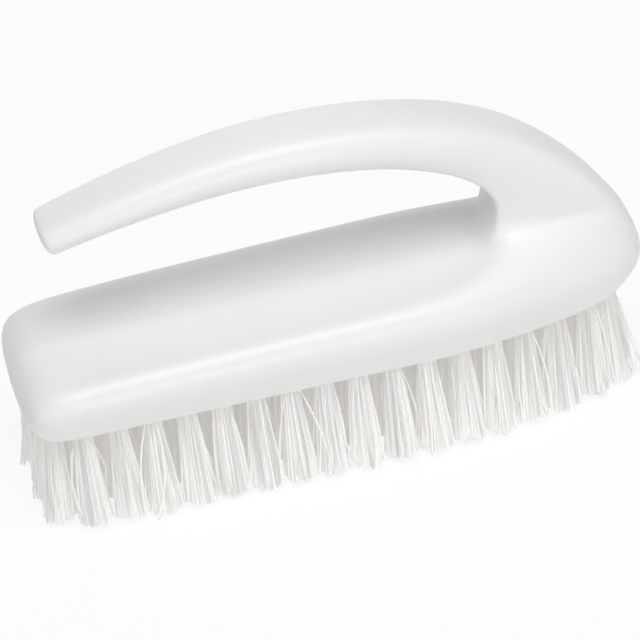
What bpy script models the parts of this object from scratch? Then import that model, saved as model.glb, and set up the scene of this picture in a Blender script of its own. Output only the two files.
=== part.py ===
# Iron-style scrub brush: one moulding of block and open handle, tuft rows and their steel anchors.
# Metres, +X toward the nose, +Y away from the near side, +Z up, bristle tips on z = 0.

import math

import bmesh
import bpy
from mathutils import Vector

# Overall sizes of the moulding; the handle rises from the block's top
BLOCK_LENGTH = 0.150
BLOCK_WIDTH = 0.0486
BLOCK_THICKNESS = 0.016
HANDLE_RISE = 0.044
HANDLE_WIDTH = 0.0196
# Length of the bristles below the block
BRISTLE_TRIM = 0.026

# Tuck of the block's foot from the widest line, and the skim that levels it
FOOT_HEEL_TUCK = 0.0034
FOOT_SIDE_TUCK = 0.0049
FOOT_NOSE_TUCK = 0.0066
FOOT_SKIM = 0.0004
# Inset of the block's shoulder from the widest line
SHOULDER_HEEL_INSET = 0.0030
SHOULDER_SIDE_INSET = 0.0024
SHOULDER_NOSE_INSET = 0.0030

# Half of the widest line, heel centre to nose centre: along, across, height of it, height of the shoulder
OUTLINE_SHARES = (
    (-1.013, 0.000, 0.41, 0.93),
    (-1.004, 0.985, 0.41, 0.89),
    (-0.750, 1.000, 0.475, 1.00),
    (0.020, 1.010, 0.55, 1.08),
    (0.350, 1.050, 0.55, 1.045),
    (0.640, 0.890, 0.54, 0.99),
    (0.835, 0.740, 0.51, 1.00),
    (1.008, 0.460, 0.475, 1.00),
    (1.029, 0.000, 0.46, 0.97),
)

# Flat middle of the top, beside the outline's points: along, across (of the handle), height
TOP_SHARES = (
    (-0.796, 0.00, 0.94),
    (-0.796, 0.96, 0.93),
    (-0.412, 0.96, 0.98),
    (0.400, 0.955, 1.00),
    (0.520, 0.84, 1.22),
    (0.570, 0.88, 1.45),
    (0.770, 0.88, 1.43),
    (0.945, 0.68, 1.30),
    (0.965, 0.00, 1.25),
)
# Middle line of the top, heel to throat: along, height
TOP_MIDDLE_SHARES = (
    (-0.412, 0.98),
    (0.380, 1.00),
    (0.490, 1.06),
)

# Handle rings from root to tip: back along and up, belly along and up, half width, squareness
RING_SHARES = (
    (0.912, 0.220, 0.538, 0.215, 0.87, 1.0),
    (0.871, 0.325, 0.545, 0.300, 0.87, 1.0),
    (0.762, 0.530, 0.520, 0.405, 0.90, 1.0),
    (0.588, 0.760, 0.455, 0.490, 0.95, 0.8),
    (0.340, 0.920, 0.268, 0.610, 1.01, 0.3),
    (0.037, 0.994, 0.027, 0.664, 1.01, 0.0),
    (-0.267, 0.975, -0.245, 0.675, 0.97, 0.0),
    (-0.560, 0.875, -0.523, 0.623, 0.90, 0.0),
    (-0.784, 0.761, -0.744, 0.556, 0.84, 0.0),
    (-0.835, 0.731, -0.802, 0.530, 0.82, 0.0),
)
# Half of the grip's oval section and of the root's squarer one, back to belly: down and out
OVAL_SECTION_SHARES = (
    (0.00, 0.00),
    (0.12, 0.76),
    (0.38, 1.00),
    (0.68, 1.00),
    (0.89, 0.58),
    (1.00, 0.00),
)
SQUARE_SECTION_SHARES = (
    (0.00, 0.00),
    (0.04, 0.74),
    (0.24, 0.98),
    (0.70, 1.00),
    (0.98, 0.94),
    (1.00, 0.00),
)
# The handle's free end: how far its face is drawn in and how far it bulges
END_CAP_SHARE = 0.60
END_BULGE = 0.0012
# Edges kept tight, each the tighter the nearer its share is to one
HEEL_CORNER_CREASE_SHARE = 0.26
ROOT_CREASE_SHARE = 0.40
BACK_EDGE_CREASE_SHARE = 0.20
BELLY_EDGE_CREASE_SHARE = 0.42
END_CREASE_SHARE = 0.36

# Tufts: rows run across the block, from heel to nose
TUFT_EDGE_INSET = 0.0029
HEEL_ROW_INSET = 0.0040
EVEN_ROWS = 16
ACROSS_PITCH = 0.0077
HEEL_ROW_SPACING = 0.0063
NOSE_ROW_SPACING = 0.0060
NOSE_ROW_INSET = 0.0046
HOLE_WIDTH = 0.0044
HOLE_DEPTH = 0.0105
SEAT_CLEARANCE = 0.0003
HOLE_SIDES = 6

# Slice of the backing, as wide as the holes, that joins a row of tufts
SLICE_THICKNESS = 0.0012
SLICE_END_STEPS = 3
ROOT_BITE = 0.0003

# Strands of a tuft, every other one a little short, and how far a tuft leans out for its place
STRAND_RADIUS = 0.00075
STRAND_TIP_SPREAD = 0.0031
STRAND_UNEVENNESS = 0.0008
STRAND_ROOT_SHARE = 0.52
TUFT_LEAN_SHARE = 0.02
STRANDS_PER_TUFT = 4
STRAND_SIDES = 3

# Steel anchors: a flat across the fold of each tuft, biting into the plastic, and the web between them
ANCHOR_THICKNESS = 0.0004
ANCHOR_HEIGHT = 0.0020
ANCHOR_BITE = 0.0006
ANCHOR_WEB_HEIGHT = 0.0008
FOLD_THICKNESS = 0.0009

# Fineness of the smooth surface and of the foot's outline
SURFACE_LEVELS = 2
OUTLINE_STEPS = 12
CUT_OVERRUN = 0.001
MERGE_DISTANCE = 0.00001

HALF_LENGTH = BLOCK_LENGTH / 2
HALF_WIDTH = BLOCK_WIDTH / 2
HALF_HANDLE = HANDLE_WIDTH / 2
HALF_HOLE = HOLE_WIDTH / 2
HALF_ANCHOR = HALF_HOLE + ANCHOR_BITE
UNDERSIDE = BRISTLE_TRIM
BLOCK_TOP = UNDERSIDE + BLOCK_THICKNESS
HOLE_TOP = UNDERSIDE + HOLE_DEPTH
SLICE_TOP = UNDERSIDE + SLICE_THICKNESS
ANCHOR_TOP = HOLE_TOP - FOLD_THICKNESS - SEAT_CLEARANCE
ANCHOR_BOTTOM = ANCHOR_TOP - ANCHOR_HEIGHT


def clear_scene():
    """Remove every object of the open scene."""
    for thing in list(bpy.data.objects):
        bpy.data.objects.remove(thing, do_unlink=True)


def make_material(name, colour, roughness, metallic):
    """Return a Principled material."""
    material = bpy.data.materials.new(name)
    material.use_nodes = True
    shader = material.node_tree.nodes["Principled BSDF"]
    shader.inputs["Base Color"].default_value = (*colour, 1.0)
    shader.inputs["Roughness"].default_value = roughness
    shader.inputs["Metallic"].default_value = metallic
    return material


def make_object(name, mesh_builder, material=None):
    """Turn a bmesh into a named object of the scene."""
    mesh = bpy.data.meshes.new(name)
    bmesh.ops.recalc_face_normals(mesh_builder, faces=mesh_builder.faces[:])
    mesh_builder.to_mesh(mesh)
    mesh_builder.free()
    thing = bpy.data.objects.new(name, mesh)
    bpy.context.scene.collection.objects.link(thing)
    if material is not None:
        mesh.materials.append(material)
    return thing


def make_cutter(name, mesh_builder):
    """Turn a bmesh into an object that only cuts or joins others."""
    cutter = make_object(name, mesh_builder)
    cutter.hide_render = True
    cutter.display_type = "WIRE"
    return cutter


def add_boolean(thing, operation, tool):
    """Add an exact Boolean to an object."""
    modifier = thing.modifiers.new(tool.name, "BOOLEAN")
    modifier.operation = operation
    modifier.solver = "EXACT"
    modifier.object = tool
    return modifier


def inset_point(along, across, heel, nose, side):
    """Draw a point of the widest line in, in proportion to its place on it."""
    end_inset = nose if along > 0 else heel
    return (
        along * (HALF_LENGTH - end_inset),
        across * (HALF_WIDTH - side),
    )


def foot_points():
    """Points of the foot's half outline, heel centre to nose centre."""
    return [
        inset_point(along, across, FOOT_HEEL_TUCK, FOOT_NOSE_TUCK, FOOT_SIDE_TUCK)
        for along, across, _, _ in OUTLINE_SHARES
    ]


def add_loop(builder, points):
    """Add a list of cage points to the builder."""
    return [builder.verts.new(point) for point in points]


def block_loops(builder):
    """Foot, widest line and shoulder of the block, each half of a loop."""
    foot = [(x, y, UNDERSIDE - FOOT_SKIM) for x, y in foot_points()]
    widest = []
    shoulder = []
    for along, across, widest_share, shoulder_share in OUTLINE_SHARES:
        x, y = along * HALF_LENGTH, across * HALF_WIDTH
        widest.append((x, y, UNDERSIDE + widest_share * BLOCK_THICKNESS))
        x, y = inset_point(
            along, across, SHOULDER_HEEL_INSET, SHOULDER_NOSE_INSET, SHOULDER_SIDE_INSET
        )
        shoulder.append((x, y, UNDERSIDE + shoulder_share * BLOCK_THICKNESS))
    return [add_loop(builder, points) for points in (foot, widest, shoulder)]


def top_loop(builder):
    """Rim of the top's flat middle, whose nose end is the handle's root, and the middle line."""
    rim = [
        (along * HALF_LENGTH, across * HALF_HANDLE, UNDERSIDE + height * BLOCK_THICKNESS)
        for along, across, height in TOP_SHARES
    ]
    middle = [
        (along * HALF_LENGTH, 0.0, UNDERSIDE + height * BLOCK_THICKNESS)
        for along, height in TOP_MIDDLE_SHARES
    ]
    return add_loop(builder, rim), add_loop(builder, middle)


def ring_points(shares, inset_share=1.0, bulge=0.0):
    """Points round half of one handle ring, drawn in about its centre and pushed out of its plane."""
    back_along, back_up, belly_along, belly_up, width_share, squareness_share = shares
    back = Vector((back_along * HALF_LENGTH, 0.0, BLOCK_TOP + back_up * HANDLE_RISE))
    belly = Vector((belly_along * HALF_LENGTH, 0.0, BLOCK_TOP + belly_up * HANDLE_RISE))
    half_width = width_share * HALF_HANDLE
    centre = (back + belly) / 2
    depth_way = (belly - back).normalized()
    push = Vector((depth_way.z, 0.0, -depth_way.x)) * bulge
    points = []
    for oval, square in zip(OVAL_SECTION_SHARES, SQUARE_SECTION_SHARES):
        down, out = Vector(oval).lerp(Vector(square), squareness_share)
        point = back.lerp(belly, down)
        point.y = out * half_width
        points.append(centre + (point - centre) * inset_share + push)
    return points


def tighten(builder, crease, chain, share):
    """Crease the edges along a chain of cage points."""
    for start, end in zip(chain, chain[1:]):
        builder.edges.get((start, end))[crease] = share


def join_loops(builder, first, second):
    """Close the band between two open loops of the same length."""
    for index in range(len(first) - 1):
        builder.faces.new(
            (first[index], first[index + 1], second[index + 1], second[index])
        )


def add_modifiers_of_skin(thing):
    """Mirror the half cage across the middle and make it smooth."""
    mirror = thing.modifiers.new("mirror", "MIRROR")
    mirror.use_axis = (False, True, False)
    mirror.merge_threshold = MERGE_DISTANCE
    mirror.use_clip = True
    smooth = thing.modifiers.new("smooth", "SUBSURF")
    smooth.levels = SURFACE_LEVELS
    smooth.render_levels = SURFACE_LEVELS


def build_moulding(material):
    """Block and open handle as one cage, with a sharp flat foot."""
    builder = bmesh.new()
    crease = builder.edges.layers.float.new("crease_edge")
    foot, widest, shoulder = block_loops(builder)
    rim, middle = top_loop(builder)
    join_loops(builder, foot, widest)
    join_loops(builder, widest, shoulder)
    join_loops(builder, shoulder, rim)
    builder.faces.new(foot)
    spine = [rim[0]] + middle
    join_loops(builder, spine, rim[1:len(spine) + 1])
    tighten(builder, crease, foot, 1.0)
    heel_corner = [foot[1], widest[1], shoulder[1], rim[1]]
    tighten(builder, crease, heel_corner, HEEL_CORNER_CREASE_SHARE)
    # The root ring starts at the nose and ends on the middle line at the throat
    ring = [rim[8], rim[7], rim[6], rim[5], rim[4], middle[-1]]
    tighten(builder, crease, ring[1:4], ROOT_CREASE_SHARE)
    for shares in RING_SHARES:
        following = add_loop(builder, ring_points(shares))
        join_loops(builder, ring, following)
        for corner, share in ((1, BACK_EDGE_CREASE_SHARE), (4, BELLY_EDGE_CREASE_SHARE)):
            tighten(builder, crease, (ring[corner], following[corner]), share * shares[-1])
        ring = following
    tighten(builder, crease, ring, END_CREASE_SHARE)
    cap = add_loop(builder, ring_points(RING_SHARES[-1], END_CAP_SHARE, END_BULGE))
    join_loops(builder, ring, cap)
    builder.faces.new(cap)
    moulding = make_object("block_and_handle", builder, material)
    add_modifiers_of_skin(moulding)
    moulding.data.shade_smooth()
    return moulding


def spline_point(points, index, fraction):
    """Point of the smooth curve that a closed loop of cage points makes."""
    count = len(points)
    before, start, end, after = (
        Vector(points[(index + step) % count]) for step in (-1, 0, 1, 2)
    )
    rest = 1.0 - fraction
    weights = (
        rest ** 3,
        3 * fraction ** 3 - 6 * fraction ** 2 + 4,
        3 * rest ** 3 - 6 * rest ** 2 + 4,
        fraction ** 3,
    )
    total = before * weights[0] + start * weights[1] + end * weights[2] + after * weights[3]
    return total / sum(weights)


def foot_outline():
    """Smooth outline of the foot's far half, as points."""
    half = foot_points()
    loop = half + [(x, -y) for x, y in reversed(half[1:-1])]
    outline = []
    for index in range(len(loop)):
        for step in range(OUTLINE_STEPS):
            point = spline_point(loop, index, step / OUTLINE_STEPS)
            if point.y > -MERGE_DISTANCE:
                outline.append(point)
    return outline


def clear_half_width(outline, x):
    """Largest distance from the middle at which a tuft at x keeps its inset from the foot's edge."""
    widths = []
    for point in outline:
        aside = abs(point.x - x)
        if aside < TUFT_EDGE_INSET:
            widths.append(point.y - math.sqrt(TUFT_EDGE_INSET ** 2 - aside ** 2))
    return max(min(widths), 0.0)


def row_places():
    """Place of each row along the block, and the places of its tufts across it."""
    outline = foot_outline()
    heel = min(point.x for point in outline) + HEEL_ROW_INSET
    nose = max(point.x for point in outline) - NOSE_ROW_INSET
    first = heel + HEEL_ROW_SPACING
    span = nose - NOSE_ROW_SPACING - first
    along = [heel]
    along += [first + span * index / (EVEN_ROWS - 1) for index in range(EVEN_ROWS)]
    along.append(nose)
    rows = []
    for x in along:
        reach = clear_half_width(outline, x)
        gaps = max(round(2 * reach / ACROSS_PITCH), 1)
        rows.append((x, [reach * (2 * index / gaps - 1) for index in range(gaps + 1)]))
    return rows


def add_prism(builder, outline, bottom, top):
    """Close a prism over an outline of plane points."""
    lower = [builder.verts.new((x, y, bottom)) for x, y in outline]
    upper = [builder.verts.new((x, y, top)) for x, y in outline]
    count = len(outline)
    builder.faces.new(lower[::-1])
    builder.faces.new(upper)
    for index in range(count):
        following = (index + 1) % count
        builder.faces.new((lower[index], lower[following], upper[following], upper[index]))


def add_box(builder, low, high):
    """Add a box between two corners."""
    outline = ((low[0], low[1]), (high[0], low[1]), (high[0], high[1]), (low[0], high[1]))
    add_prism(builder, outline, low[2], high[2])


def polygon(x, y, radius, sides):
    """Corners of a regular polygon, the first of them toward the nose."""
    corners = []
    for index in range(sides):
        angle = 2 * math.pi * index / sides
        corners.append((x + radius * math.cos(angle), y + radius * math.sin(angle)))
    return corners


def row_outline(x, places, radius):
    """Outline with round ends about a row of tufts."""
    corners = []
    for centre, turn in ((places[-1], 0.0), (places[0], math.pi)):
        for index in range(SLICE_END_STEPS + 1):
            angle = turn + math.pi * index / SLICE_END_STEPS
            corners.append((x + radius * math.cos(angle), centre + radius * math.sin(angle)))
    return corners


def add_anchor_slot(builder, x, places, overrun):
    """Add the slot that holds a row's anchors with clearance all round."""
    half = ANCHOR_THICKNESS / 2 + SEAT_CLEARANCE
    reach = HALF_ANCHOR + overrun
    low = (x - half, places[0] - reach, ANCHOR_BOTTOM - SEAT_CLEARANCE)
    high = (x + half, places[-1] + reach, ANCHOR_TOP + SEAT_CLEARANCE)
    add_box(builder, low, high)


def cut_underside(moulding, rows):
    """Level the foot, then cut the rows' seats, the tuft holes and the anchors' slots."""
    level = bmesh.new()
    add_box(level, (-BLOCK_LENGTH, -BLOCK_WIDTH, 0.0), (BLOCK_LENGTH, BLOCK_WIDTH, UNDERSIDE))
    seats = bmesh.new()
    holes = bmesh.new()
    slots = bmesh.new()
    for x, places in rows:
        seat = row_outline(x, places, HALF_HOLE + SEAT_CLEARANCE)
        add_prism(seats, seat, UNDERSIDE - CUT_OVERRUN, SLICE_TOP + SEAT_CLEARANCE)
        for y in places:
            hole = polygon(x, y, HALF_HOLE, HOLE_SIDES)
            add_prism(holes, hole, UNDERSIDE - CUT_OVERRUN, HOLE_TOP)
        add_anchor_slot(slots, x, places, SEAT_CLEARANCE)
    cuts = (("foot_level", level), ("row_seats", seats), ("tuft_holes", holes), ("anchor_slots", slots))
    for name, builder in cuts:
        add_boolean(moulding, "DIFFERENCE", make_cutter(name, builder))


def add_strand(builder, root, tip):
    """Add one strand as a slim prism from its root to its flat tip."""
    rings = []
    for x, y, z in (root, tip):
        corners = polygon(x, y, STRAND_RADIUS, STRAND_SIDES)
        rings.append([builder.verts.new((corner_x, corner_y, z)) for corner_x, corner_y in corners])
    upper, lower = rings
    builder.faces.new(upper)
    builder.faces.new(lower[::-1])
    for index in range(STRAND_SIDES):
        following = (index + 1) % STRAND_SIDES
        builder.faces.new((upper[index], lower[index], lower[following], upper[following]))


def add_tuft(builder, x, y):
    """Add the strands of one tuft, fanned out from their root and cut level at the tips."""
    root_spread = STRAND_ROOT_SHARE * HALF_HOLE
    lean = 1.0 + TUFT_LEAN_SHARE
    for index in range(STRANDS_PER_TUFT):
        angle = 2 * math.pi * (index + 0.5) / STRANDS_PER_TUFT
        side, ahead = math.cos(angle), math.sin(angle)
        root = (x + root_spread * side, y + root_spread * ahead, UNDERSIDE + ROOT_BITE)
        tip = (
            lean * x + STRAND_TIP_SPREAD * side,
            lean * y + STRAND_TIP_SPREAD * ahead,
            STRAND_UNEVENNESS * (index % 2),
        )
        add_strand(builder, root, tip)


def build_tuft_row(number, x, places, material):
    """One row of tufts: a slice of the backing, the folded roots above it and the strands below."""
    backing = bmesh.new()
    add_prism(backing, row_outline(x, places, HALF_HOLE), UNDERSIDE, SLICE_TOP)
    row = make_object(f"tuft_row_{number:02d}", backing, material)
    filaments = bmesh.new()
    for y in places:
        root = polygon(x, y, HALF_HOLE - SEAT_CLEARANCE, HOLE_SIDES)
        add_prism(filaments, root, SLICE_TOP - ROOT_BITE, HOLE_TOP - SEAT_CLEARANCE)
        add_tuft(filaments, x, y)
    add_boolean(row, "UNION", make_cutter(f"row_{number:02d}_filaments", filaments))
    folds = bmesh.new()
    add_anchor_slot(folds, x, places, CUT_OVERRUN)
    add_boolean(row, "DIFFERENCE", make_cutter(f"row_{number:02d}_folds", folds))
    return row


def anchor_profile(places):
    """Outline of a row's anchors and the web between them, seen from the nose."""
    web_top = ANCHOR_BOTTOM + ANCHOR_WEB_HEIGHT
    first, last = places[0] - HALF_ANCHOR, places[-1] + HALF_ANCHOR
    profile = [(first, ANCHOR_BOTTOM), (last, ANCHOR_BOTTOM), (last, ANCHOR_TOP)]
    for far, near in zip(places[:0:-1], places[-2::-1]):
        profile += [
            (far - HALF_ANCHOR, ANCHOR_TOP),
            (far - HALF_ANCHOR, web_top),
            (near + HALF_ANCHOR, web_top),
            (near + HALF_ANCHOR, ANCHOR_TOP),
        ]
    profile.append((first, ANCHOR_TOP))
    return profile


def build_anchor_row(number, x, places, material):
    """The flat anchors of a row, joined by a low web, as one strip on edge."""
    profile = anchor_profile(places)
    half = ANCHOR_THICKNESS / 2
    strip = bmesh.new()
    heel_side = [strip.verts.new((x - half, y, z)) for y, z in profile]
    nose_side = [strip.verts.new((x + half, y, z)) for y, z in profile]
    strip.faces.new(heel_side[::-1])
    strip.faces.new(nose_side)
    for index in range(len(profile)):
        following = (index + 1) % len(profile)
        strip.faces.new(
            (heel_side[index], heel_side[following], nose_side[following], nose_side[index])
        )
    return make_object(f"anchor_row_{number:02d}", strip, material)


def main():
    """Build the brush."""
    clear_scene()
    plastic = make_material("white_polypropylene", (0.86, 0.86, 0.86), 0.42, 0.0)
    filament = make_material("white_polyester_filament", (0.82, 0.82, 0.80), 0.5, 0.0)
    steel = make_material("stainless_strip", (0.6, 0.6, 0.6), 0.3, 1.0)
    moulding = build_moulding(plastic)
    rows = row_places()
    cut_underside(moulding, rows)
    for number, (x, places) in enumerate(rows, start=1):
        build_tuft_row(number, x, places, filament)
        build_anchor_row(number, x, places, steel)


main()
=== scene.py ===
"""Iron-style scrub brush, dressed: one white moulding, filament tufts and the steel that holds them."""

import logging
import math
from dataclasses import dataclass
from enum import Enum

import bmesh
import bpy
import numpy as np
from mathutils import Matrix, Vector


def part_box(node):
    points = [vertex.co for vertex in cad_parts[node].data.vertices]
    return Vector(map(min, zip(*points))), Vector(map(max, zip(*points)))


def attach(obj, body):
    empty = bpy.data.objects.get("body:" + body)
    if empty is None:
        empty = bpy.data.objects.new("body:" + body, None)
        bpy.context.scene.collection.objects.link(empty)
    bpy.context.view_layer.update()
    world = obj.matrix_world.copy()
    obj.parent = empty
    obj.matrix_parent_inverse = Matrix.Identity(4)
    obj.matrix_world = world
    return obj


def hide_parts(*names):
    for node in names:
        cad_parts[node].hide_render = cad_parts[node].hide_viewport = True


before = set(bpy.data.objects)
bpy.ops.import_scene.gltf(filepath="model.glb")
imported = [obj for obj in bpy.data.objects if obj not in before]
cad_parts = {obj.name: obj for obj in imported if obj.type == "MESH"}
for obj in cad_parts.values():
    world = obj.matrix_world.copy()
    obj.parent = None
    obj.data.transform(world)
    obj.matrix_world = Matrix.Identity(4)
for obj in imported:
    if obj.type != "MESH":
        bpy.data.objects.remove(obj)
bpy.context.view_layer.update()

BODY = "root"
# The photograph's frame, which lens and sensor are worked out for
PICTURE_WIDTH = 640
MILLIMETRE = 0.001

log = logging.getLogger("scrub_brush")

Link = tuple[bpy.types.Node, str]
Point = tuple[float, float, float]


def linear(code: str) -> tuple[float, float, float, float]:
    """Turn an sRGB hex colour into a linear one, by the standard's own curve.

    Args:
        code: six hex digits after a hash mark.

    Returns:
        Linear red, green and blue, with full alpha.
    """
    channels = []
    for start in (1, 3, 5):
        value = int(code[start:start + 2], 16) / 255
        channels.append(value / 12.92 if value <= 0.04045 else ((value + 0.055) / 1.055) ** 2.4)
    return (*channels, 1.0)


def add_node(
    tree: bpy.types.NodeTree,
    kind: str,
    settings: dict[str, object] | None = None,
    links: dict[str, Link] | None = None,
) -> bpy.types.Node:
    """Add a node, set its sockets and properties, and link its inputs.

    Args:
        tree: the node tree that takes it.
        kind: the node's type.
        settings: values by socket identifier, or by property name.
        links: for an input's identifier, the node and the output's identifier that feed it.

    Returns:
        The new node.
    """
    node = tree.nodes.new(kind)
    inputs = {socket.identifier: socket for socket in node.inputs}
    for name, value in (settings or {}).items():
        if name in inputs:
            inputs[name].default_value = value
        else:
            setattr(node, name, value)
    for name, (source, port) in (links or {}).items():
        output = next(socket for socket in source.outputs if socket.identifier == port)
        tree.links.new(output, inputs[name])
    return node


def new_material(name: str) -> tuple[bpy.types.Material, bpy.types.NodeTree]:
    """Start a material with an empty node tree.

    Args:
        name: the material's name.

    Returns:
        The material and its tree.
    """
    material = bpy.data.materials.new(name)
    material.use_nodes = True
    material.node_tree.nodes.clear()
    return material, material.node_tree


def new_object(name: str, mesh: bpy.types.Mesh) -> bpy.types.Object:
    """Link a mesh into the scene as an object.

    Args:
        name: the object's name.
        mesh: its mesh.

    Returns:
        The new object.
    """
    thing = bpy.data.objects.new(name, mesh)
    bpy.context.scene.collection.objects.link(thing)
    return thing


def mesh_from_builder(name: str, builder: bmesh.types.BMesh) -> bpy.types.Mesh:
    """Turn a mesh builder into a mesh whose faces point out.

    Args:
        name: the mesh's name.
        builder: the builder, which is freed.

    Returns:
        The new mesh.
    """
    mesh = bpy.data.meshes.new(name)
    bmesh.ops.recalc_face_normals(builder, faces=builder.faces[:])
    builder.to_mesh(mesh)
    builder.free()
    return mesh


def remove_object(thing: bpy.types.Object) -> None:
    """Delete an object together with its mesh."""
    mesh = thing.data
    bpy.data.objects.remove(thing)
    bpy.data.meshes.remove(mesh)


def evaluated_mesh(thing: bpy.types.Object, name: str) -> bpy.types.Mesh:
    """Read an object's mesh with its modifiers applied.

    Args:
        thing: the object.
        name: the name of the new mesh.

    Returns:
        A plain mesh of its own.
    """
    bpy.context.view_layer.update()
    graph = bpy.context.evaluated_depsgraph_get()
    mesh = bpy.data.meshes.new_from_object(thing.evaluated_get(graph))
    mesh.name = name
    return mesh


@dataclass(frozen=True)
class Finish:
    """What the finishes share: a gloss that a pattern moves about its middle."""

    roughness: float = 0.5
    roughness_swing: float = 0.05

    @property
    def gloss(self) -> dict[str, float]:
        """Roughness at the pattern's two ends."""
        low, high = self.roughness - self.roughness_swing, self.roughness + self.roughness_swing
        return {"To Min": low, "To Max": high}


@dataclass(frozen=True)
class MouldedPolypropylene(Finish):
    """White polypropylene, injection moulded: even and dense, with a soft sheen and faint peel."""

    name: str = "moulded_white_polypropylene"
    white: str = "#F0F0EF"
    flow_white: str = "#ECECEA"
    index: float = 1.49
    roughness: float = 0.36
    flow_size_mm: float = 26.0
    sheen_size_mm: float = 5.0
    # Real peel is near 0.3 mm. It is drawn at 0.9 mm, the finest that the whole picture shows.
    peel_size_mm: float = 0.9
    peel_depth_mm: float = 0.006
    depth_share: float = 0.12
    depth_mm: float = 1.2
    depth_by_colour: Point = (1.0, 1.0, 0.95)

    def build(self) -> bpy.types.Material:
        """Make the material.

        Returns:
            Plastic with flow marks in its colour, an uneven sheen and fine peel.
        """
        material, tree = new_material(self.name)
        place = add_node(tree, "ShaderNodeTexCoord")
        flow = add_node(
            tree,
            "ShaderNodeTexNoise",
            {"Scale": 1 / (self.flow_size_mm * MILLIMETRE), "Detail": 2.0},
            {"Vector": (place, "Object")},
        )
        colour = add_node(
            tree,
            "ShaderNodeMix",
            {"data_type": "RGBA", "A_Color": linear(self.white), "B_Color": linear(self.flow_white)},
            {"Factor_Float": (flow, "Fac")},
        )
        sheen = add_node(
            tree,
            "ShaderNodeTexNoise",
            {"Scale": 1 / (self.sheen_size_mm * MILLIMETRE), "Detail": 3.0},
            {"Vector": (place, "Object")},
        )
        roughness = add_node(tree, "ShaderNodeMapRange", self.gloss, {"Value": (sheen, "Fac")})
        peel = add_node(
            tree,
            "ShaderNodeTexNoise",
            {"Scale": 1 / (self.peel_size_mm * MILLIMETRE), "Detail": 1.0},
            {"Vector": (place, "Object")},
        )
        bump = add_node(
            tree,
            "ShaderNodeBump",
            {"Strength": 1.0, "Distance": self.peel_depth_mm * MILLIMETRE},
            {"Height": (peel, "Fac")},
        )
        shader = add_node(
            tree,
            "ShaderNodeBsdfPrincipled",
            {
                "IOR": self.index,
                "Subsurface Weight": self.depth_share,
                "Subsurface Radius": self.depth_by_colour,
                "Subsurface Scale": self.depth_mm * MILLIMETRE,
            },
            {
                "Base Color": (colour, "Result_Color"),
                "Roughness": (roughness, "Result"),
                "Normal": (bump, "Normal"),
            },
        )
        add_node(tree, "ShaderNodeOutputMaterial", {}, {"Surface": (shader, "BSDF")})
        return material


@dataclass(frozen=True)
class DrawnPolyester(Finish):
    """White polyester filament, extruded and drawn: milky, with faint streaks down its length."""

    name: str = "drawn_white_polyester"
    white: str = "#F6F5F4"
    warm_white: str = "#EDECE9"
    index: float = 1.57
    specular_level: float = 0.28
    roughness: float = 0.55
    roughness_swing: float = 0.08
    streak_width_mm: float = 0.35
    streak_length_mm: float = 9.0
    streak_share: float = 0.4
    depth_share: float = 0.85
    depth_mm: float = 0.9
    depth_by_colour: Point = (1.0, 0.98, 0.94)
    # A painted glow: the filament gives off a little light of its own, standing for light passed on
    # between filaments. Its level was set by trial, not worked out.
    painted_glow: str = "#FBF9F8"
    painted_glow_level: float = 0.11
    tone_name: str = "tone"

    def build(self) -> bpy.types.Material:
        """Make the material.

        Returns:
            Filament whose white varies from one strand to the next, with streaks along it.
        """
        material, tree = new_material(self.name)
        place = add_node(tree, "ShaderNodeTexCoord")
        width = 1 / (self.streak_width_mm * MILLIMETRE)
        length = 1 / (self.streak_length_mm * MILLIMETRE)
        drawn = add_node(
            tree, "ShaderNodeMapping", {"Scale": (width, width, length)}, {"Vector": (place, "Object")}
        )
        streaks = add_node(
            tree, "ShaderNodeTexNoise", {"Scale": 1.0, "Detail": 2.0}, {"Vector": (drawn, "Vector")}
        )
        tone = add_node(tree, "ShaderNodeAttribute", {"attribute_name": self.tone_name})
        shade = add_node(
            tree,
            "ShaderNodeMath",
            {"operation": "MULTIPLY_ADD", "Value_001": self.streak_share, "use_clamp": True},
            {"Value": (streaks, "Fac"), "Value_002": (tone, "Fac")},
        )
        colour = add_node(
            tree,
            "ShaderNodeMix",
            {"data_type": "RGBA", "A_Color": linear(self.white), "B_Color": linear(self.warm_white)},
            {"Factor_Float": (shade, "Value")},
        )
        roughness = add_node(tree, "ShaderNodeMapRange", self.gloss, {"Value": (streaks, "Fac")})
        shader = add_node(
            tree,
            "ShaderNodeBsdfPrincipled",
            {
                "IOR": self.index,
                "Specular IOR Level": self.specular_level,
                "Subsurface Weight": self.depth_share,
                "Subsurface Radius": self.depth_by_colour,
                "Subsurface Scale": self.depth_mm * MILLIMETRE,
                # Painted glow: light the filament gives off itself, standing for light passed between
                # filaments
                "Emission Color": linear(self.painted_glow),
                "Emission Strength": self.painted_glow_level,
            },
            {"Base Color": (colour, "Result_Color"), "Roughness": (roughness, "Result")},
        )
        add_node(tree, "ShaderNodeOutputMaterial", {}, {"Surface": (shader, "BSDF")})
        return material


@dataclass(frozen=True)
class BundledPolyester(DrawnPolyester):
    """The same filament packed side by side, which light soaks into: deeper and softer, with a stronger
    painted glow.
    """

    name: str = "bundled_white_polyester"
    depth_share: float = 1.0
    depth_mm: float = 2.5
    # A stronger painted glow than the loose filaments', which lightens the cores
    painted_glow_level: float = 0.16


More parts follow.
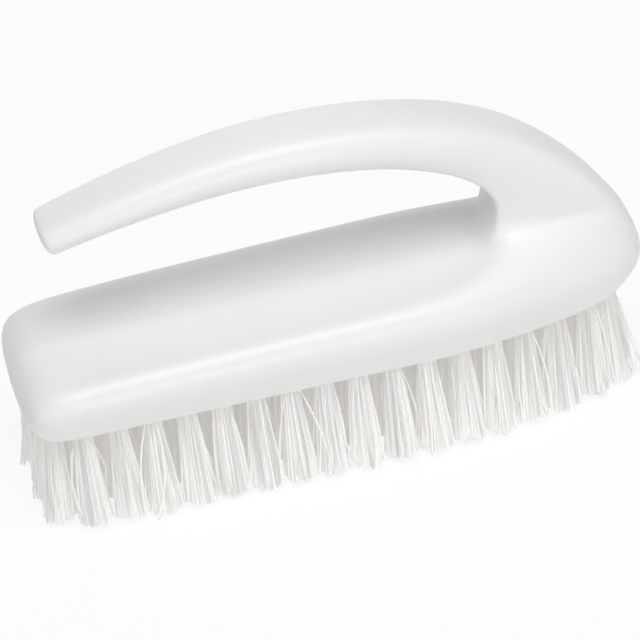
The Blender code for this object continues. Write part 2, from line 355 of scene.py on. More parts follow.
@dataclass(frozen=True)
class RolledStainless(Finish):
    """Stainless strip, cold rolled and sheared: a bright grey metal with fine lines along the roll."""

    name: str = "rolled_stainless_strip"
    bright: str = "#CBCAC6"
    dull: str = "#A9A8A4"
    roughness: float = 0.28
    roughness_swing: float = 0.10
    line_width_mm: float = 0.12
    line_length_mm: float = 6.0
    line_depth_mm: float = 0.004

    def build(self) -> bpy.types.Material:
        """Make the material.

        Returns:
            Metal with rolling lines in its colour, gloss and surface.
        """
        material, tree = new_material(self.name)
        place = add_node(tree, "ShaderNodeTexCoord")
        width = 1 / (self.line_width_mm * MILLIMETRE)
        length = 1 / (self.line_length_mm * MILLIMETRE)
        rolled = add_node(
            tree, "ShaderNodeMapping", {"Scale": (width, length, width)}, {"Vector": (place, "Object")}
        )
        lines = add_node(
            tree, "ShaderNodeTexNoise", {"Scale": 1.0, "Detail": 4.0}, {"Vector": (rolled, "Vector")}
        )
        colour = add_node(
            tree,
            "ShaderNodeMix",
            {"data_type": "RGBA", "A_Color": linear(self.bright), "B_Color": linear(self.dull)},
            {"Factor_Float": (lines, "Fac")},
        )
        roughness = add_node(tree, "ShaderNodeMapRange", self.gloss, {"Value": (lines, "Fac")})
        bump = add_node(
            tree,
            "ShaderNodeBump",
            {"Strength": 1.0, "Distance": self.line_depth_mm * MILLIMETRE},
            {"Height": (lines, "Fac")},
        )
        shader = add_node(
            tree,
            "ShaderNodeBsdfPrincipled",
            {"Metallic": 1.0},
            {
                "Base Color": (colour, "Result_Color"),
                "Roughness": (roughness, "Result"),
                "Normal": (bump, "Normal"),
            },
        )
        add_node(tree, "ShaderNodeOutputMaterial", {}, {"Surface": (shader, "BSDF")})
        return material


@dataclass(frozen=True)
class StudioPaper:
    """White paper on a light table: matt, white to the eye, grey only where the brush shades it."""

    name: str = "white_studio_paper"
    paper: str = "#F4F4F4"
    # A little light from under the paper, on the brush alone, for its soft underside
    table_level: float = 0.12
    shade_share: float = 0.16
    near: float = 0.14
    far: float = 0.42

    def build(self) -> bpy.types.Material:
        """Make the material.

        Returns:
            Paper that is plain white to the camera far from the brush, and takes its shadow near it.
        """
        material, tree = new_material(self.name)
        place = add_node(tree, "ShaderNodeTexCoord")
        away = add_node(
            tree, "ShaderNodeVectorMath", {"operation": "LENGTH"}, {"Vector": (place, "Object")}
        )
        share = add_node(
            tree,
            "ShaderNodeMapRange",
            {
                "interpolation_type": "SMOOTHSTEP",
                "From Min": self.near,
                "From Max": self.far,
                "To Min": self.shade_share,
                "To Max": 0.0,
            },
            {"Value": (away, "Value")},
        )
        glow_level = add_node(
            tree,
            "ShaderNodeMath",
            {"operation": "SUBTRACT", "Value": 1.0},
            {"Value_001": (share, "Result")},
        )
        glow = add_node(tree, "ShaderNodeEmission", {}, {"Strength": (glow_level, "Value")})
        lit = add_node(tree, "ShaderNodeBsdfDiffuse", {}, {"Color": (share, "Result")})
        shown = add_node(
            tree,
            "ShaderNodeAddShader",
            {},
            {"Shader": (glow, "Emission"), "Shader_001": (lit, "BSDF")},
        )
        # What the paper gives the brush: the lamps' light sent back, and a little of the table's
        plain = add_node(tree, "ShaderNodeBsdfDiffuse", {"Color": linear(self.paper)})
        table = add_node(tree, "ShaderNodeEmission", {"Strength": self.table_level})
        given = add_node(
            tree,
            "ShaderNodeAddShader",
            {},
            {"Shader": (plain, "BSDF"), "Shader_001": (table, "Emission")},
        )
        face = add_node(
            tree,
            "ShaderNodeMixShader",
            {},
            {
                "Fac": seen_directly(tree),
                "Shader": (given, "Shader"),
                "Shader_001": (shown, "Shader"),
            },
        )
        # From below the paper is left open, so that the underside of the brush can be looked at
        side = add_node(tree, "ShaderNodeNewGeometry")
        clear = add_node(tree, "ShaderNodeBsdfTransparent")
        surface = add_node(
            tree,
            "ShaderNodeMixShader",
            {},
            {"Fac": (side, "Backfacing"), "Shader": (face, "Shader"), "Shader_001": (clear, "BSDF")},
        )
        add_node(tree, "ShaderNodeOutputMaterial", {}, {"Surface": (surface, "Shader")})
        return material


def seen_directly(tree: bpy.types.NodeTree) -> Link:
    """Add the nodes that tell what is seen, mirrored or seen through from what only gives light.

    Args:
        tree: the node tree that takes them.

    Returns:
        An output that is 1 for camera, glossy and transmission rays, and 0 for others.
    """
    path = add_node(tree, "ShaderNodeLightPath")
    mirrored = add_node(
        tree,
        "ShaderNodeMath",
        {"operation": "MAXIMUM"},
        {"Value": (path, "Is Glossy Ray"), "Value_001": (path, "Is Transmission Ray")},
    )
    seen = add_node(
        tree,
        "ShaderNodeMath",
        {"operation": "MAXIMUM"},
        {"Value": (path, "Is Camera Ray"), "Value_001": (mirrored, "Value")},
    )
    return seen, "Value"


@dataclass(frozen=True)
class OutlineStation:
    """One point of the block's outline, as shares of half length, half width and thickness."""

    along: float
    across: float
    widest_up: float
    shoulder_up: float


@dataclass(frozen=True)
class TopStation:
    """One point of the top's flat middle, as shares of half length, half handle width and thickness."""

    along: float
    across: float
    up: float


@dataclass(frozen=True)
class HandleRing:
    """One ring of the handle: back and belly as shares of half length and rise, width, squareness."""

    back_along: float
    back_up: float
    belly_along: float
    belly_up: float
    width: float
    squareness: float


@dataclass(frozen=True)
class SectionStation:
    """One point of the way round half of the handle, as shares of its depth and of its half width."""

    down: float
    out: float


@dataclass
class Moulding:
    """Block and open handle, one injection moulding, with drilled holes in its underside."""

    name: str = "moulding"
    length: float = 0.150
    width: float = 0.0486
    thickness: float = 0.016
    rise: float = 0.044
    handle_width: float = 0.0196
    heel_tuck: float = 0.0034
    side_tuck: float = 0.0049
    nose_tuck: float = 0.0066
    skim: float = 0.0004
    heel_inset: float = 0.0030
    side_inset: float = 0.0024
    nose_inset: float = 0.0030
    edge_reach: float = 0.0005
    parting_half_width: float = 0.00018
    parting_height: float = 0.00005
    merge_reach: float = 0.00001
    cut_tolerance: float = 0.000002
    hole_width: float = 0.0044
    hole_depth: float = 0.0105
    drill_point: float = 0.0012
    hole_sides: int = 24
    slot_clearance: float = 0.0003
    overrun: float = 0.001
    levels: int = 3
    sharp_angle: float = math.radians(42)

    outline: tuple[OutlineStation, ...] = (
        OutlineStation(-1.013, 0.000, 0.41, 0.93),
        OutlineStation(-1.004, 0.985, 0.41, 0.89),
        OutlineStation(-0.750, 1.000, 0.475, 1.00),
        OutlineStation(0.020, 1.010, 0.55, 1.08),
        OutlineStation(0.350, 1.050, 0.55, 1.045),
        OutlineStation(0.640, 0.890, 0.54, 0.99),
        OutlineStation(0.835, 0.740, 0.51, 1.00),
        OutlineStation(1.008, 0.460, 0.475, 1.00),
        OutlineStation(1.029, 0.000, 0.46, 0.97),
    )
    top: tuple[TopStation, ...] = (
        TopStation(-0.796, 0.00, 0.94),
        TopStation(-0.796, 0.96, 0.93),
        TopStation(-0.412, 0.96, 0.98),
        TopStation(0.400, 0.955, 1.00),
        TopStation(0.520, 0.84, 1.22),
        TopStation(0.570, 0.88, 1.45),
        TopStation(0.770, 0.88, 1.43),
        TopStation(0.945, 0.68, 1.30),
        TopStation(0.965, 0.00, 1.25),
    )
    top_middle: tuple[TopStation, ...] = (
        TopStation(-0.412, 0.0, 0.98),
        TopStation(0.380, 0.0, 1.00),
        TopStation(0.490, 0.0, 1.06),
    )
    rings: tuple[HandleRing, ...] = (
        HandleRing(0.912, 0.220, 0.538, 0.215, 0.87, 1.0),
        HandleRing(0.871, 0.325, 0.545, 0.300, 0.87, 1.0),
        HandleRing(0.762, 0.530, 0.520, 0.405, 0.90, 1.0),
        HandleRing(0.588, 0.760, 0.455, 0.490, 0.95, 0.8),
        HandleRing(0.340, 0.920, 0.268, 0.610, 1.01, 0.3),
        HandleRing(0.037, 0.994, 0.027, 0.664, 1.01, 0.0),
        HandleRing(-0.267, 0.975, -0.245, 0.675, 0.97, 0.0),
        HandleRing(-0.560, 0.875, -0.523, 0.623, 0.90, 0.0),
        HandleRing(-0.784, 0.761, -0.744, 0.556, 0.84, 0.0),
        HandleRing(-0.835, 0.731, -0.802, 0.530, 0.82, 0.0),
    )
    # Half of the grip's oval section and of the root's squarer one, from back to belly
    oval: tuple[SectionStation, ...] = (
        SectionStation(0.00, 0.00),
        SectionStation(0.12, 0.76),
        SectionStation(0.38, 1.00),
        SectionStation(0.68, 1.00),
        SectionStation(0.89, 0.58),
        SectionStation(1.00, 0.00),
    )
    square: tuple[SectionStation, ...] = (
        SectionStation(0.00, 0.00),
        SectionStation(0.04, 0.74),
        SectionStation(0.24, 0.98),
        SectionStation(0.70, 1.00),
        SectionStation(0.98, 0.94),
        SectionStation(1.00, 0.00),
    )
    end_cap: float = 0.60
    end_dome: float = 0.0012
    # Creases, which keep an edge tighter the nearer they are to 1
    heel_corner_crease: float = 0.26
    root_crease: float = 0.40
    back_edge_crease: float = 0.20
    belly_edge_crease: float = 0.42
    tip_crease: float = 0.36

    @property
    def underside(self) -> float:
        """Height of the block's flat underside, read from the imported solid."""
        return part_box("block_and_handle")[0].z

    def inset_point(
        self, station: OutlineStation, heel: float, nose: float, side: float
    ) -> tuple[float, float]:
        """Draw a point of the widest line in, in proportion to its place on it.

        Args:
            station: the point's shares.
            heel: inset at the heel.
            nose: inset at the nose.
            side: inset at the side.

        Returns:
            Its place along and across the block.
        """
        end_inset = nose if station.along > 0 else heel
        return station.along * (self.length / 2 - end_inset), station.across * (self.width / 2 - side)

    def block_loops(self) -> list[list[Vector]]:
        """Work out half of each loop of the block's wall.

        Returns:
            The loops from the flat sole over the round foot edge to the shoulder.
        """
        loops: list[list[Vector]] = [[], [], [], [], []]
        for station in self.outline:
            x, y = self.inset_point(station, self.heel_tuck, self.nose_tuck, self.side_tuck)
            low = Vector((x, y, self.underside - self.skim))
            height = self.underside + station.widest_up * self.thickness
            widest = Vector(
                (station.along * self.length / 2, station.across * self.width / 2, height)
            )
            corner = low.lerp(widest, self.skim / (widest.z - low.z))
            wall = (widest - corner).normalized()
            rise = corner + wall * self.edge_reach
            x, y = self.inset_point(
                station,
                self.heel_tuck + self.edge_reach,
                self.nose_tuck + self.edge_reach,
                self.side_tuck + self.edge_reach,
            )
            sole = Vector((x, y, self.underside))
            x, y = self.inset_point(station, self.heel_inset, self.nose_inset, self.side_inset)
            shoulder = Vector((x, y, self.underside + station.shoulder_up * self.thickness))
            for loop, point in zip(loops, (sole, corner, rise, widest, shoulder)):
                loop.append(point)
        return loops

    def ring_points(self, ring: HandleRing, inset: float = 1.0, dome: float = 0.0) -> list[Vector]:
        """Work out the points round half of one handle ring.

        Args:
            ring: the ring's shares.
            inset: share by which it is drawn in about its centre.
            dome: how far it is pushed out past its plane, away from the root.

        Returns:
            Its points from the back to the belly.
        """
        block_top = self.underside + self.thickness
        back = Vector((ring.back_along * self.length / 2, 0, block_top + ring.back_up * self.rise))
        belly = Vector((ring.belly_along * self.length / 2, 0, block_top + ring.belly_up * self.rise))
        centre = (back + belly) / 2
        down_way = (belly - back).normalized()
        push = Vector((down_way.z, 0, -down_way.x)) * dome
        points = []
        for oval, square in zip(self.oval, self.square):
            down = oval.down + (square.down - oval.down) * ring.squareness
            out = oval.out + (square.out - oval.out) * ring.squareness
            point = back.lerp(belly, down)
            point.y = out * ring.width * self.handle_width / 2
            points.append(centre + (point - centre) * inset + push)
        return points

    def cage(self) -> bmesh.types.BMesh:
        """Build half of the control cage.

        Returns:
            A builder with the far half of block and handle.
        """
        builder = bmesh.new()
        crease = builder.edges.layers.float.new("crease_edge")

        def add_loop(points: list[Vector]) -> list[bmesh.types.BMVert]:
            """Add a list of points as vertices."""
            return [builder.verts.new(point) for point in points]

        def tighten(chain: list[bmesh.types.BMVert], sharpness: float) -> None:
            """Crease the edges along a chain of vertices."""
            for start, end in zip(chain, chain[1:]):
                builder.edges.get((start, end))[crease] = sharpness

        def join(first: list[bmesh.types.BMVert], second: list[bmesh.types.BMVert]) -> None:
            """Close the band between two loops of the same length."""
            for index in range(len(first) - 1):
                builder.faces.new(
                    (first[index], first[index + 1], second[index + 1], second[index])
                )

        def top_point(station: TopStation) -> Vector:
            """Place one point of the top's flat middle."""
            return Vector(
                (
                    station.along * self.length / 2,
                    station.across * self.handle_width / 2,
                    self.underside + station.up * self.thickness,
                )
            )

        loops = [add_loop(points) for points in self.block_loops()]
        rim = add_loop([top_point(station) for station in self.top])
        middle = add_loop([top_point(station) for station in self.top_middle])
        for lower, upper in zip(loops, loops[1:] + [rim]):
            join(lower, upper)
        builder.faces.new(loops[0])
        spine = [rim[0]] + middle
        join(spine, rim[1:len(spine) + 1])
        tighten([loop[1] for loop in loops] + [rim[1]], self.heel_corner_crease)
        ring = [*rim[:len(spine) - 1:-1], middle[-1]]
        tighten(ring[1:4], self.root_crease)
        for shares in self.rings:
            following = add_loop(self.ring_points(shares))
            join(ring, following)
            for corner, sharpness in ((1, self.back_edge_crease), (4, self.belly_edge_crease)):
                tighten([ring[corner], following[corner]], sharpness * shares.squareness)
            ring = following
        tighten(ring, self.tip_crease)
        cap = add_loop(self.ring_points(self.rings[-1], self.end_cap, self.end_dome))
        join(ring, cap)
        builder.faces.new(cap)
        return builder

    def skin(self) -> bpy.types.Mesh:
        """Mirror and smooth the cage, and raise the parting line.

        Returns:
            The closed skin, before its holes.
        """
        rough = new_object("moulding_cage", mesh_from_builder("moulding_cage", self.cage()))
        mirror = rough.modifiers.new("mirror", "MIRROR")
        mirror.use_axis = (False, True, False)
        mirror.merge_threshold = self.merge_reach
        mirror.use_clip = True
        smooth = rough.modifiers.new("smooth", "SUBSURF")
        smooth.levels = self.levels
        smooth.render_levels = self.levels
        mesh = evaluated_mesh(rough, self.name)
        remove_object(rough)
        self.raise_parting_line(mesh)
        return mesh

    def raise_parting_line(self, mesh: bpy.types.Mesh) -> None:
        """Raise the fine ridge that the two mould halves leave along the middle.

        Args:
            mesh: the skin, changed in place.
        """
        builder = bmesh.new()
        builder.from_mesh(mesh)
        for side in (-1, 1):
            bmesh.ops.bisect_plane(
                builder,
                geom=builder.verts[:] + builder.edges[:] + builder.faces[:],
                dist=self.cut_tolerance,
                plane_co=(0, side * self.parting_half_width, 0),
                plane_no=(0, 1, 0),
            )
        builder.normal_update()
        sole = self.underside + self.edge_reach / 4
        for vertex in builder.verts:
            if abs(vertex.co.y) < self.merge_reach and vertex.co.z > sole:
                vertex.co += vertex.normal * self.parting_height
        builder.to_mesh(mesh)
        builder.free()

    def hole_cutter(self, places: list[tuple[float, float]]) -> bpy.types.Object:
        """Make the drills that cut the tuft holes.

        Args:
            places: middle of each hole along and across the block.

        Returns:
            An object of separate closed bodies.
        """
        builder = bmesh.new()
        bottom = self.underside - self.overrun
        shoulder = self.underside + self.hole_depth - self.drill_point
        turns = [2 * math.pi * index / self.hole_sides for index in range(self.hole_sides)]
        reach = self.hole_width / 2
        circle = [(reach * math.cos(turn), reach * math.sin(turn)) for turn in turns]
        for x, y in places:
            lower, upper = (
                [builder.verts.new((x + out, y + over, height)) for out, over in circle]
                for height in (bottom, shoulder)
            )
            point = builder.verts.new((x, y, self.underside + self.hole_depth))
            builder.faces.new(lower[::-1])
            for index in range(self.hole_sides):
                following = (index + 1) % self.hole_sides
                builder.faces.new((lower[index], lower[following], upper[following], upper[index]))
                builder.faces.new((upper[index], upper[following], point))
        return new_object("hole_cutter", mesh_from_builder("hole_cutter", builder))

    def slot_cutter(self, boxes: list[tuple[Vector, Vector]]) -> bpy.types.Object:
        """Make the blocks that clear the anchors' seats.

        Args:
            boxes: lowest and highest corner of each row of anchors.

        Returns:
            An object of separate closed bodies.
        """
        builder = bmesh.new()
        margin = Vector((self.slot_clearance,) * 3)
        for low, high in boxes:
            low, high = low - margin, high + margin
            made = bmesh.ops.create_cube(builder, size=1.0)
            middle, size = (low + high) / 2, high - low
            for vertex in made["verts"]:
                vertex.co = Vector(a * b + c for a, b, c in zip(vertex.co, size, middle))
        return new_object("slot_cutter", mesh_from_builder("slot_cutter", builder))

    def build(
        self,
        places: list[tuple[float, float]],
        anchor_boxes: list[tuple[Vector, Vector]],
        finish: bpy.types.Material,
    ) -> bpy.types.Object:
        """Build the moulding and set it in the frame.

        Args:
            places: middle of each tuft hole.
            anchor_boxes: lowest and highest corner of each row of anchors.
            finish: its material.

        Returns:
            The finished piece.
        """
        skin = new_object("moulding_skin", self.skin())
        cutters = [self.hole_cutter(places), self.slot_cutter(anchor_boxes)]
        for cutter in cutters:
            cut = skin.modifiers.new(cutter.name, "BOOLEAN")
            cut.operation = "DIFFERENCE"
            cut.solver = "EXACT"
            cut.object = cutter
        piece = new_object(self.name, evaluated_mesh(skin, self.name))
        for spare in (skin, *cutters):
            remove_object(spare)
        piece.data.materials.clear()
        piece.data.materials.append(finish)
        piece.data.shade_smooth()
        piece.data.set_sharp_from_angle(angle=self.sharp_angle)
        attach(piece, BODY)
        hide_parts("block_and_handle")
        return piece


class Habit(Enum):
    """How a filament stands in its tuft."""

    TRUE = "true"
    BOWED = "bowed"
    STRAY = "stray"


@dataclass(frozen=True)
class HabitSizes:
    """Share of the filaments with a habit, their bow, their tips' wander, and how short they fall."""

    share: float
    bow: float
    wander: float
    shortfall: float


@dataclass
class TuftRow:
    """One row of tufts across the block, each a round bundle that fans out from its hole."""

    number: int
    along: float
    places: list[float]
    mouth: float
    root: float
    lean: float
    finish_name: str = "tone"
    root_radius: float = 0.00192
    tip_reach_along: float = 0.0043
    tip_reach_across: float = 0.0039
    side_lean: float = 0.0006
    # The core, which is ribbed outside and hollow at its end
    flutes: int = 20
    flute_swing: float = 0.35
    flute_depth: float = 0.00016
    core_rings: int = 7
    core_root_share: float = 1.02
    core_tip_share: float = 0.86
    core_end: float = 0.0018
    core_raggedness: float = 0.0008
    core_hollow_share: float = 0.3
    core_hollow_height: float = 0.75
    core_tone: float = 0.3
    rib_least: float = 0.4
    # The filaments round and through it, gathered in clumps and cut unevenly
    filaments: int = 84
    filament_radius: float = 0.00026
    thickness_swing: float = 0.07
    tone_spread: float = 0.6
    sides: int = 5
    rings: int = 5
    sharp_angle: float = math.radians(80)
    crowding: float = 0.32
    root_jitter: float = 0.03
    clumps: int = 7
    clump_pull: float = 0.22
    clump_wander: float = 0.00035
    clump_shortfall: float = 0.0007
    raggedness: float = 0.0007
    crown: float = 0.0005

    @property
    def node(self) -> str:
        """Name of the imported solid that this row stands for."""
        return f"tuft_row_{self.number:02d}"

    @staticmethod
    def habits() -> dict[Habit, HabitSizes]:
        """Give the sizes of each habit."""
        return {
            Habit.TRUE: HabitSizes(share=0.71, bow=0.00010, wander=0.00022, shortfall=0.0004),
            Habit.BOWED: HabitSizes(share=0.24, bow=0.00045, wander=0.00050, shortfall=0.0018),
            Habit.STRAY: HabitSizes(share=0.05, bow=0.00120, wander=0.00200, shortfall=0.0006),
        }

    @staticmethod
    def sunflower(count: int, crowding: float = 0.5) -> np.ndarray:
        """Spread points over the unit disc.

        Args:
            count: how many.
            crowding: 0.5 for an even spread, and less for more of them near the rim.

        Returns:
            An array of their places, one row each.
        """
        index = np.arange(count)
        turn = index * math.pi * (3 - math.sqrt(5))
        reach = ((index + 0.5) / count) ** crowding
        return np.column_stack((reach * np.cos(turn), reach * np.sin(turn)))

    def tuft(
        self, rng: np.random.Generator, across: float, edge: float
    ) -> tuple[np.ndarray, np.ndarray]:
        """Work out the centre lines of one tuft's filaments.

        Args:
            rng: source of the tuft's unevenness.
            across: the tuft's place across the block.
            edge: -1 or 1 for the row's near or far end tuft, and 0 between them.

        Returns:
            Points by filament and ring, and each filament's tone.
        """
        turn = rng.uniform(0, 2 * math.pi)
        spin = np.array([[math.cos(turn), -math.sin(turn)], [math.sin(turn), math.cos(turn)]])
        disc = self.sunflower(self.filaments, self.crowding) @ spin.T
        disc += rng.normal(0, self.root_jitter, disc.shape)
        heads = self.sunflower(self.clumps) @ spin
        nearest = np.argmin(((disc[:, None] - heads[None]) ** 2).sum(2), axis=1)
        clump_shift = rng.normal(0, self.clump_wander, heads.shape)
        clump_short = rng.uniform(0, self.clump_shortfall, self.clumps)
        kinds = list(self.habits().values())
        picked = rng.choice(len(kinds), self.filaments, p=[kind.share for kind in kinds])
        bow = np.array([kind.bow for kind in kinds])[picked]
        wander = np.array([kind.wander for kind in kinds])[picked]
        shortfall = np.array([kind.shortfall for kind in kinds])[picked]
        centre = np.array([self.along, across])
        roots = centre + disc * self.root_radius
        gathered = disc + (heads[nearest] - disc) * self.clump_pull
        tips = centre + gathered * (self.tip_reach_along, self.tip_reach_across)
        tips += clump_shift[nearest] + rng.normal(0, 1, tips.shape) * wander[:, None]
        tips += (self.lean, edge * self.side_lean)
        bows = rng.normal(0, 1, tips.shape) * bow[:, None]
        ends = np.abs(rng.normal(0, self.raggedness, self.filaments)) + clump_short[nearest]
        ends += rng.uniform(0, 1, self.filaments) * shortfall + self.crown * (disc ** 2).sum(1)
        fraction = np.linspace(0, 1, self.rings)
        free = np.empty((self.filaments, self.rings, 3))
        free[:, :, :2] = roots[:, None] + (tips - roots)[:, None] * fraction[None, :, None]
        free[:, :, :2] += bows[:, None] * (4 * fraction * (1 - fraction))[None, :, None]
        free[:, :, 2] = self.mouth + (ends[:, None] - self.mouth) * fraction
        held = np.column_stack((roots, np.full(self.filaments, self.root)))
        tones = rng.uniform(0, 1, self.filaments) * self.tone_spread
        return np.concatenate((held[:, None], free), axis=1), tones

    def core(self, rng: np.random.Generator, across: float, edge: float) -> np.ndarray:
        """Work out the close-packed inside of a tuft, ribbed by the filaments round it.

        Args:
            rng: source of the ribs' unevenness.
            across: the tuft's place across the block.
            edge: -1 or 1 for the row's near or far end tuft, and 0 between them.

        Returns:
            Points by ring and side, from inside the hole to the ragged end and up into its hollow.
        """
        sides = 2 * self.flutes
        steps = np.arange(sides) + rng.uniform(-1, 1, sides) * self.flute_swing
        turn = steps * 2 * math.pi / sides
        rib = np.where(np.arange(sides) % 2, 1.0, -1.0) * rng.uniform(self.rib_least, 1.0, sides)
        rib *= self.flute_depth
        ends = self.core_end + rng.uniform(-1, 1, sides) * self.core_raggedness
        free = np.linspace(0, 1, self.core_rings - 2)
        fraction = np.concatenate(([0.0], free, [self.core_hollow_height]))[:, None]
        tip_reach = np.array([self.tip_reach_along, self.tip_reach_across]) * self.core_tip_share
        points = np.empty((self.core_rings, sides, 3))
        way = np.column_stack((np.cos(turn), np.sin(turn)))
        shift = np.array([self.lean, edge * self.side_lean])
        root_reach = self.root_radius * self.core_root_share
        for axis, (centre, reach) in enumerate(zip((self.along, across), tip_reach)):
            spread = root_reach + (reach - root_reach) * fraction + rib * (1 + fraction)
            points[:, :, axis] = centre + way[:, axis] * spread + shift[axis] * fraction
        middle = points[-1, :, :2].mean(axis=0)
        points[-1, :, :2] = middle + (points[-1, :, :2] - middle) * self.core_hollow_share
        points[:, :, 2] = self.mouth + (ends - self.mouth) * fraction
        points[0, :, 2] = self.root
        return points

    @staticmethod
    def tube_faces(count: int, rings: int, sides: int, first: int) -> list[list[int]]:
        """List the faces of closed tubes whose points lie in order by tube, ring and side.

        Args:
            count: how many tubes.
            rings: rings of each.
            sides: points of each ring.
            first: number of the first point.

        Returns:
            Walls, then tops and bottoms.
        """
        start = np.arange(count)[:, None, None] * rings * sides + first
        level = np.arange(rings - 1)[None, :, None] * sides
        side = np.arange(sides)[None, None, :]
        following = (side + 1) % sides
        walls = np.stack(
            (
                start + level + side,
                start + level + sides + side,
                start + level + sides + following,
                start + level + following,
            ),
            axis=3,
        ).reshape(-1, 4)
        tops = start[:, 0] + np.arange(sides)
        bottoms = start[:, 0] + (rings - 1) * sides + np.arange(sides)[::-1]
        return walls.tolist() + tops.tolist() + bottoms.tolist()

    def mesh(self) -> bpy.types.Mesh:
        """Build the row's filaments and the cores inside its tufts.

        Returns:
            A mesh of closed tubes, with their tone as an attribute and cores of its second material.
        """
        rng = np.random.default_rng(self.number)
        paths, tones, cores = [], [], []
        last = len(self.places) - 1
        for index, across in enumerate(self.places):
            edge = (index == last) - (index == 0)
            path, tone = self.tuft(rng, across, edge)
            paths.append(path)
            tones.append(tone)
            cores.append(self.core(rng, across, edge))
        path, tone, core = np.concatenate(paths), np.concatenate(tones), np.stack(cores)
        count, rings = path.shape[:2]
        radius = self.filament_radius * (1 + rng.uniform(-1, 1, count) * self.thickness_swing)
        corners = np.arange(self.sides) * 2 * math.pi / self.sides
        turn = rng.uniform(0, 2 * math.pi, count)[:, None] + corners
        circle = np.stack((np.cos(turn), np.sin(turn), np.zeros_like(turn)), axis=2)
        circle *= radius[:, None, None]
        points = (path[:, :, None] + circle[:, None]).reshape(-1, 3)
        slim = self.tube_faces(count, rings, self.sides, 0)
        thick = self.tube_faces(*core.shape[:3], len(points))
        mesh = bpy.data.meshes.new(f"bristle_row_{self.number:02d}")
        mesh.from_pydata(points.tolist() + core.reshape(-1, 3).tolist(), [], slim + thick)
        shade = mesh.attributes.new(self.finish_name, "FLOAT", "POINT")
        core_shades = np.full(core.size // 3, self.core_tone)
        shades = np.concatenate((np.repeat(tone, rings * self.sides), core_shades))
        shade.data.foreach_set("value", shades.astype(np.float32))
        slots = np.repeat((0, 1), (len(slim), len(thick))).astype(np.int32)
        mesh.polygons.foreach_set("material_index", slots)
        mesh.shade_smooth()
        mesh.set_sharp_from_angle(angle=self.sharp_angle)
        return mesh

    def build(
        self, finish: bpy.types.Material, core_finish: bpy.types.Material
    ) -> bpy.types.Object:
        """Build the row and set it in the frame.

        Args:
            finish: material of its filaments.
            core_finish: material of the cores.

        Returns:
            The finished piece.
        """
        mesh = self.mesh()
        mesh.materials.append(finish)
        mesh.materials.append(core_finish)
        piece = new_object(mesh.name, mesh)
        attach(piece, BODY)
        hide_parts(self.node)
        return piece


@dataclass
class TuftField:
    """All rows of tufts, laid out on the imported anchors."""

    anchor_reach: float = 0.0028
    across_pitch: float = 0.0077
    heel_lean: float = -0.0016
    nose_lean: float = 0.0010
    root_clearance: float = 0.0003

    def anchor_nodes(self) -> list[str]:
        """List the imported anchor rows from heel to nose."""
        return sorted(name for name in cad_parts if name.startswith("anchor_row_"))

    def rows(self) -> list[TuftRow]:
        """Lay out the rows on their anchors.

        Returns:
            The rows from heel to nose.
        """
        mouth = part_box("block_and_handle")[0].z
        names = self.anchor_nodes()
        rows = []
        for number, name in enumerate(names, start=1):
            low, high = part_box(name)
            reach = (high.y - low.y) / 2 - self.anchor_reach
            gaps = round(2 * reach / self.across_pitch)
            places = [reach * (2 * index / gaps - 1) for index in range(gaps + 1)]
            lean = {1: self.heel_lean, len(names): self.nose_lean}.get(number, 0.0)
            root = low.z - self.root_clearance
            rows.append(TuftRow(number, (low.x + high.x) / 2, places, mouth, root, lean))
        return rows


@dataclass
class Anchors:
    """Stainless strips across the folds of the tufts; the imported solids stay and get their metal."""

    def dress(self, names: list[str], finish: bpy.types.Material) -> None:
        """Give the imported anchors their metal.

        Args:
            names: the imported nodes.
            finish: their material.
        """
        for name in names:
            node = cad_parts[name]
            node.data.materials.clear()
            node.data.materials.append(finish)


@dataclass(frozen=True)
class Softbox:
    """One square soft lamp, placed round the brush and turned to it."""

    name: str
    azimuth: float
    elevation: float
    watts: float
    width: float = 0.65
    distance: float = 1.1

    def build(self, aim: Vector) -> bpy.types.Object:
        """Hang the lamp.

        Args:
            aim: the point that it is turned to.

        Returns:
            The lamp's object.
        """
        lamp = bpy.data.lights.new(self.name, "AREA")
        lamp.shape = "SQUARE"
        lamp.size = self.width
        lamp.energy = self.watts
        thing = bpy.data.objects.new(self.name, lamp)
        bpy.context.scene.collection.objects.link(thing)
        turn, tilt = math.radians(self.azimuth), math.radians(self.elevation)
        back = Vector(
            (math.sin(turn) * math.cos(tilt), -math.cos(turn) * math.cos(tilt), math.sin(tilt))
        )
        thing.location = aim + back * self.distance
        thing.rotation_mode = "QUATERNION"
        thing.rotation_quaternion = back.to_track_quat("Z", "Y")
        return thing


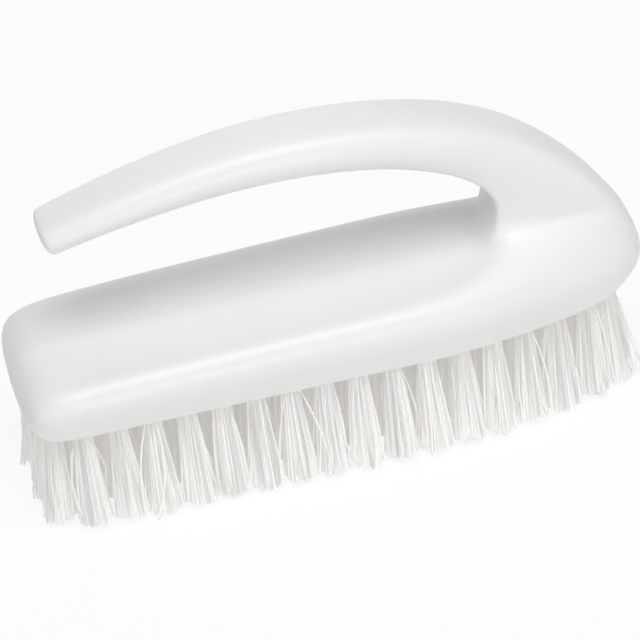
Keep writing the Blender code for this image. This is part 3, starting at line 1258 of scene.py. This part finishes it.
@dataclass
class Studio:
    """White paper floor, white surroundings and soft lamps."""

    floor_half: float = 3.0
    fill: str = "#FFFFFF"
    fill_level: float = 0.27
    aim: Point = (0.0, 0.0, 0.045)
    lamps: tuple[Softbox, ...] = (
        Softbox("key_softbox", 0, 65, 4.3),
        Softbox("nose_key_softbox", 30, 63, 1.3),
        Softbox("heel_key_softbox", -30, 65, 1.3),
        Softbox("nose_softbox", 45, 40, 0.5),
        Softbox("low_softbox", 0, 7, 1.6, 0.24),
        Softbox("back_softbox", 180, 55, 0.9),
        Softbox("low_back_softbox", 180, 20, 0.9),
    )

    def build_floor(self, finish: bpy.types.Material) -> bpy.types.Object:
        """Lay the paper under the brush.

        Args:
            finish: its material.

        Returns:
            The floor's object.
        """
        builder = bmesh.new()
        half = self.floor_half
        corners = ((-half, -half), (half, -half), (half, half), (-half, half))
        builder.faces.new([builder.verts.new((x, y, 0.0)) for x, y in corners])
        mesh = bpy.data.meshes.new("paper_floor")
        builder.to_mesh(mesh)
        builder.free()
        mesh.materials.append(finish)
        floor = new_object("paper_floor", mesh)
        return floor

    def build_surroundings(self) -> None:
        """Make the world white to the eye and a soft fill on the brush."""
        world = bpy.data.worlds.new("white_surroundings")
        bpy.context.scene.world = world
        world.use_nodes = True
        tree = world.node_tree
        tree.nodes.clear()
        shown = add_node(tree, "ShaderNodeBackground", {"Color": linear("#FFFFFF"), "Strength": 1.0})
        fill = add_node(
            tree, "ShaderNodeBackground", {"Color": linear(self.fill), "Strength": self.fill_level}
        )
        mixed = add_node(
            tree,
            "ShaderNodeMixShader",
            {},
            {
                "Fac": seen_directly(tree),
                "Shader": (fill, "Background"),
                "Shader_001": (shown, "Background"),
            },
        )
        add_node(tree, "ShaderNodeOutputWorld", {}, {"Surface": (mixed, "Shader")})

    def build(self, paper: bpy.types.Material) -> None:
        """Set up the floor, the surroundings and the lamps.

        Args:
            paper: the floor's material.
        """
        self.build_floor(paper)
        self.build_surroundings()
        for lamp in self.lamps:
            lamp.build(Vector(self.aim))
        bpy.context.scene.view_settings.view_transform = "Standard"


@dataclass(frozen=True)
class PhotoCamera:
    """The photograph's view: long lens, from above the heel's near side, turned a little."""

    azimuth: float = -9.3
    elevation: float = 33.6
    roll: float = 7.5
    distance: float = 0.9115
    focal_pixels: float = 3948.0
    sensor: float = 36.0
    nearest: float = 0.01
    farthest: float = 20.0
    aim: Point = (-0.0022, -0.0036, 0.0328)

    def build(self) -> bpy.types.Object:
        """Set the camera up.

        Returns:
            The camera's object, which is the scene's camera.
        """
        data = bpy.data.cameras.new("photo_camera")
        data.sensor_width = self.sensor
        data.lens = self.focal_pixels * self.sensor / PICTURE_WIDTH
        data.clip_start = self.nearest
        data.clip_end = self.farthest
        camera = bpy.data.objects.new("photo_camera", data)
        bpy.context.scene.collection.objects.link(camera)
        turn, tilt = math.radians(self.azimuth), math.radians(self.elevation)
        right = Vector((math.cos(turn), math.sin(turn), 0.0))
        back = Vector(
            (math.sin(turn) * math.cos(tilt), -math.cos(turn) * math.cos(tilt), math.sin(tilt))
        )
        level = Matrix((right, back.cross(right), back)).transposed()
        rolled = level @ Matrix.Rotation(-math.radians(self.roll), 3, "Z")
        place = Vector(self.aim) + back * self.distance
        camera.matrix_world = Matrix.Translation(place) @ rolled.to_4x4()
        bpy.context.scene.camera = camera
        return camera


def main() -> None:
    """Build the brush, its studio and its camera."""
    logging.basicConfig(level=logging.INFO, format="%(message)s")
    PhotoCamera().build()
    field = TuftField()
    rows = field.rows()
    anchors = field.anchor_nodes()
    places = [(row.along, across) for row in rows for across in row.places]
    plastic = MouldedPolypropylene().build()
    filament = DrawnPolyester().build()
    bundle = BundledPolyester().build()
    boxes = [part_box(name) for name in anchors]
    moulding = Moulding().build(places, boxes, plastic)
    log.info("%s: %d faces, %d holes", moulding.name, len(moulding.data.polygons), len(places))
    for row in rows:
        piece = row.build(filament, bundle)
        log.info("%s: %d tufts, %d faces", piece.name, len(row.places), len(piece.data.polygons))
    Anchors().dress(anchors, RolledStainless().build())
    log.info("anchors: %d rows", len(anchors))
    Studio().build(StudioPaper().build())


if __name__ == "__main__":
    main()
